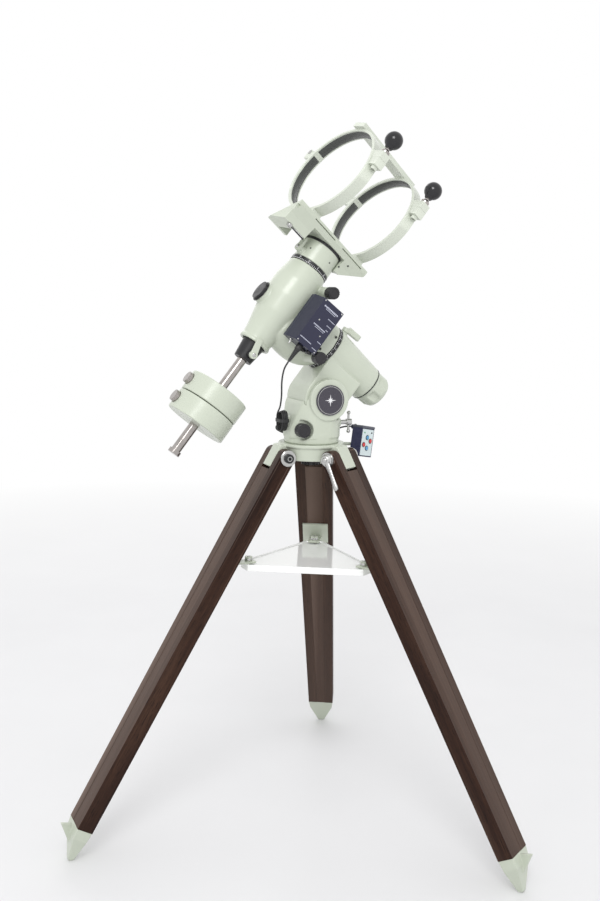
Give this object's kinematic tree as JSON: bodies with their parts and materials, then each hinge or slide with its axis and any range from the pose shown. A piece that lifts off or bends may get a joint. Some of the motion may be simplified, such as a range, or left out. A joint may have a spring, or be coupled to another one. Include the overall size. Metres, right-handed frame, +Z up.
{
  "type": "german equatorial telescope mount",
  "caption": "Equatorial telescope mount: wooden tripod with tray, tilting polar axis, declination axis with counterweights, hinged tube rings, control box and hand controller.",
  "frame": {"origin": "on the ground midway between the tripod's feet, under the azimuth axis", "axes": "+Z up, -X north: the polar axis lies in the plane y = 0 and rises towards -X"},
  "size_m": [0.8278, 0.941, 1.4974],
  "materials": {
    "mint": "satin mint-green paint over a light alloy casting",
    "pale_mint": "satin pale green paint",
    "wood": "dark stained hardwood, satin lacquer",
    "steel": "bright turned steel",
    "chrome": "polished",
    "black_plastic": "satin black",
    "black_metal": "black anodised",
    "tray_white": "glossy pale",
    "bronze": "machined",
    "navy": "glossy dark blue paint",
    "controller_case": "satin dark blue",
    "red": "satin",
    "blue": "satin",
    "lead_rubber": "matt black"
  },
  "bodies": {
    "tripod_head": {"tripod_hub": "mint", "pivot_bolts": "steel", "controller": "controller_case"},
    "leg_north": {"leg_north_boards": "wood", "leg_north_shoe": "mint", "leg_north_bracket": "mint"},
    "lever_north": {"leg_north_lever": "steel"},
    "leg_west": {"leg_west_boards": "wood", "leg_west_shoe": "mint", "leg_west_bracket": "mint"},
    "lever_west": {"leg_west_lever": "steel"},
    "leg_east": {"leg_east_boards": "wood", "leg_east_shoe": "mint", "leg_east_bracket": "mint"},
    "lever_east": {"leg_east_lever": "steel"},
    "tray": {"tray": "tray_white"},
    "base_bolt": {"base_bolt": "black_plastic"},
    "azimuth_base": {"base_casting": "mint", "badge_plates": "black_metal", "cable": "lead_rubber", "cable_hank": "lead_rubber"},
    "azimuth_screw_near": {"azimuth_knob_near": "black_plastic"},
    "azimuth_screw_far": {"azimuth_knob_far": "black_plastic"},
    "polar_body": {"polar_housing": "mint", "ra_bearings": "steel"},
    "altitude_screw": {"altitude_bolt": "steel"},
    "polar_cap": {"polar_cap": "mint"},
    "ra_circle": {"ra_circle": "black_metal"},
    "ra_clamp_lever": {"ra_clamp_lever": "mint"},
    "ra_rotor": {"ra_shaft": "steel", "dec_housing": "mint", "window_cap": "black_plastic", "control_box": "navy", "box_plug": "lead_rubber", "dec_bearings": "steel", "weight_socket": "black_metal"},
    "ra_worm": {"ra_worm_knob": "black_plastic"},
    "ra_wheel": {"ra_wheel": "bronze"},
    "dec_worm": {"dec_worm_knob": "black_plastic"},
    "dec_wheel": {"dec_wheel": "bronze"},
    "dec_circle": {"dec_circle": "black_metal"},
    "socket_lever": {"socket_lever": "mint"},
    "weight_rod": {"weight_shaft": "chrome"},
    "weight_upper": {"weight_upper": "mint"},
    "weight_knob_upper": {"weight_knob_upper": "chrome"},
    "weight_lower": {"weight_lower": "mint"},
    "weight_knob_lower": {"weight_knob_lower": "chrome"},
    "dec_rotor": {"dec_shaft": "steel", "dec_head": "mint", "ring_plate": "mint", "ring_bases": "pale_mint"},
    "dec_clamp_lever": {"dec_clamp_lever": "mint"},
    "ring_lids": {"ring_lids": "pale_mint"},
    "lid_knob_upper": {"lid_knob_upper": "black_plastic"},
    "lid_knob_lower": {"lid_knob_lower": "black_plastic"},
    "button_red_upper": {"button_red_upper": "red"},
    "button_red_lower": {"button_red_lower": "red"},
    "button_blue_upper": {"button_blue_upper": "blue"},
    "button_blue_lower": {"button_blue_lower": "blue"}
  },
  "joints": [
    {"name": "leg_north_fold", "type": "hinge", "parent": "tripod_head", "child": "leg_north", "pos_m": [-0.072, 0, 0.81], "axis": [0, -1, 0], "range_deg": [0, 22]},
    {"name": "lever_north_swing", "type": "hinge", "parent": "leg_north", "child": "lever_north", "pos_m": [-0.072, 0, 0.81], "axis": [0, -1, 0], "range_deg": [-60, 0]},
    {"name": "leg_west_fold", "type": "hinge", "parent": "tripod_head", "child": "leg_west", "pos_m": [0.036, -0.06235, 0.81], "axis": [0.866, 0.5, 0], "range_deg": [0, 22]},
    {"name": "lever_west_swing", "type": "hinge", "parent": "leg_west", "child": "lever_west", "pos_m": [0.036, -0.06235, 0.81], "axis": [0.866, 0.5, 0], "range_deg": [-60, 0]},
    {"name": "leg_east_fold", "type": "hinge", "parent": "tripod_head", "child": "leg_east", "pos_m": [0.036, 0.06235, 0.81], "axis": [-0.866, 0.5, 0], "range_deg": [0, 22]},
    {"name": "lever_east_swing", "type": "hinge", "parent": "leg_east", "child": "lever_east", "pos_m": [0.036, 0.06235, 0.81], "axis": [-0.866, 0.5, 0], "range_deg": [-60, 0]},
    {"name": "tray_drop", "type": "slide", "parent": "tripod_head", "child": "tray", "axis": [0, 0, -1], "range_m": [0, 0.576]},
    {"name": "base_bolt_turn", "type": "hinge", "parent": "tripod_head", "child": "base_bolt", "pos_m": [0, 0, 0.79], "axis": [0, 0, -1], "range_deg": [0, 360]},
    {"name": "azimuth_swing", "type": "hinge", "parent": "tripod_head", "child": "azimuth_base", "pos_m": [0, 0, 0.84], "axis": [0, 0, 1], "range_deg": [-7, 7], "deforming": ["cable"]},
    {"name": "azimuth_screw_near_turn", "type": "hinge", "parent": "azimuth_base", "child": "azimuth_screw_near", "pos_m": [-0.042, -0.046, 0.8676], "axis": [0, -1, 0], "range_deg": [0, 360]},
    {"name": "azimuth_screw_far_turn", "type": "hinge", "parent": "azimuth_base", "child": "azimuth_screw_far", "pos_m": [-0.042, 0.046, 0.8676], "axis": [0, 1, 0], "range_deg": [0, 360]},
    {"name": "altitude_tilt", "type": "hinge", "parent": "azimuth_base", "child": "polar_body", "pos_m": [0.0125, 0, 0.93], "axis": [0, 1, 0], "range_deg": [-8, 8], "deforming": ["cable"]},
    {"name": "altitude_screw_travel", "type": "slide", "parent": "azimuth_base", "child": "altitude_screw", "axis": [-1, 0, 0], "range_m": [-0.0077, 0.0077]},
    {"name": "polar_cap_turn", "type": "hinge", "parent": "polar_body", "child": "polar_cap", "pos_m": [0.14364, 0, 0.94461], "axis": [0.788, 0, -0.6157], "range_deg": [0, 360]},
    {"name": "ra_circle_turn", "type": "hinge", "parent": "polar_body", "child": "ra_circle", "pos_m": [0.02623, 0, 1.03635], "axis": [-0.788, 0, 0.6157], "continuous": true},
    {"name": "ra_clamp_turn", "type": "hinge", "parent": "polar_body", "child": "ra_clamp_lever", "pos_m": [0.07226, 0, 1.06765], "axis": [0.6157, 0, 0.788], "range_deg": [0, 60]},
    {"name": "right_ascension_turn", "type": "hinge", "parent": "polar_body", "child": "ra_rotor", "pos_m": [-0.077, 0, 1.117], "axis": [-0.788, 0, 0.6157], "range_deg": [-90, 90], "deforming": ["cable"]},
    {"name": "ra_worm_turn", "type": "hinge", "parent": "ra_rotor", "child": "ra_worm", "pos_m": [-0.02658, -0.08, 1.01911], "axis": [0, -1, 0], "continuous": true},
    {"name": "ra_wheel_turn", "type": "hinge", "parent": "ra_rotor", "child": "ra_wheel", "pos_m": [0.0018, 0, 1.05543], "axis": [-0.788, 0, 0.6157], "continuous": true},
    {"name": "dec_worm_turn", "type": "hinge", "parent": "ra_rotor", "child": "dec_worm", "pos_m": [0.00612, -0.066, 1.14851], "axis": [0, -1, 0], "continuous": true},
    {"name": "dec_wheel_turn", "type": "hinge", "parent": "ra_rotor", "child": "dec_wheel", "pos_m": [-0.03021, 0, 1.17689], "axis": [0.6157, 0, 0.788], "continuous": true},
    {"name": "dec_circle_turn", "type": "hinge", "parent": "ra_rotor", "child": "dec_circle", "pos_m": [-0.0142, 0, 1.19738], "axis": [0.6157, 0, 0.788], "continuous": true},
    {"name": "socket_clamp_turn", "type": "hinge", "parent": "ra_rotor", "child": "socket_lever", "pos_m": [-0.15026, -0.033, 1.02323], "axis": [0, -1, 0], "range_deg": [0, 60]},
    {"name": "weight_shaft_retract", "type": "slide", "parent": "ra_rotor", "child": "weight_rod", "axis": [0.6157, 0, 0.788], "range_m": [0, 0.035]},
    {"name": "weight_upper_slide", "type": "slide", "parent": "weight_rod", "child": "weight_upper", "axis": [0.6157, 0, 0.788], "range_m": [0, 0.035]},
    {"name": "weight_knob_upper_turn", "type": "hinge", "parent": "weight_upper", "child": "weight_knob_upper", "pos_m": [-0.27081, 0, 0.97452], "axis": [-0.788, 0, 0.6157], "range_deg": [0, 360]},
    {"name": "weight_lower_slide", "type": "slide", "parent": "weight_rod", "child": "weight_lower", "axis": [0.6157, 0, 0.788], "range_m": [-0.055, 0]},
    {"name": "weight_knob_lower_turn", "type": "hinge", "parent": "weight_lower", "child": "weight_knob_lower", "pos_m": [-0.29839, 0, 0.93921], "axis": [-0.788, 0, 0.6157], "range_deg": [0, 360]},
    {"name": "declination_turn", "type": "hinge", "parent": "ra_rotor", "child": "dec_rotor", "pos_m": [0.00304, 0, 1.21944], "axis": [0.6157, 0, 0.788], "range_deg": [-180, 180]},
    {"name": "dec_clamp_turn", "type": "hinge", "parent": "dec_rotor", "child": "dec_clamp_lever", "pos_m": [-0.04094, -0.01483, 1.2373], "axis": [-0.7494, -0.309, 0.5855], "range_deg": [0, 60]},
    {"name": "ring_lids_open", "type": "hinge", "parent": "dec_rotor", "child": "ring_lids", "pos_m": [0.09238, 0.10978, 1.39329], "axis": [-0.7708, -0.2079, 0.6022], "range_deg": [0, 100]},
    {"name": "lid_knob_upper_turn", "type": "hinge", "parent": "ring_lids", "child": "lid_knob_upper", "pos_m": [0.09104, -0.13037, 1.42987], "axis": [0.6157, 0, 0.788], "range_deg": [0, 360]},
    {"name": "lid_knob_lower_turn", "type": "hinge", "parent": "ring_lids", "child": "lid_knob_lower", "pos_m": [0.20357, -0.10001, 1.34195], "axis": [0.6157, 0, 0.788], "range_deg": [0, 360]},
    {"name": "button_red_upper_press", "type": "slide", "parent": "tripod_head", "child": "button_red_upper", "axis": [-0.4226, 0.9063, 0], "range_m": [0, 0.0015], "stiffness_N_per_m": 300, "springref_m": -0.0005},
    {"name": "button_red_lower_press", "type": "slide", "parent": "tripod_head", "child": "button_red_lower", "axis": [-0.4226, 0.9063, 0], "range_m": [0, 0.0015], "stiffness_N_per_m": 300, "springref_m": -0.0005},
    {"name": "button_blue_upper_press", "type": "slide", "parent": "tripod_head", "child": "button_blue_upper", "axis": [-0.4226, 0.9063, 0], "range_m": [0, 0.0015], "stiffness_N_per_m": 300, "springref_m": -0.0005},
    {"name": "button_blue_lower_press", "type": "slide", "parent": "tripod_head", "child": "button_blue_lower", "axis": [-0.4226, 0.9063, 0], "range_m": [0, 0.0015], "stiffness_N_per_m": 300, "springref_m": -0.0005}
  ],
  "couplings": [
    {"joint": "leg_west_fold", "follows": "leg_north_fold", "ratio": 1},
    {"joint": "leg_east_fold", "follows": "leg_north_fold", "ratio": 1},
    {"joint": "tray_drop", "follows": "leg_north_fold", "m_per_rad": 1.4975},
    {"joint": "altitude_screw_travel", "follows": "altitude_tilt", "m_per_rad": 0.054},
    {"joint": "ra_wheel_turn", "follows": "ra_worm_turn", "ratio": 0.013889},
    {"joint": "dec_wheel_turn", "follows": "dec_worm_turn", "ratio": 0.013889}
  ]
}
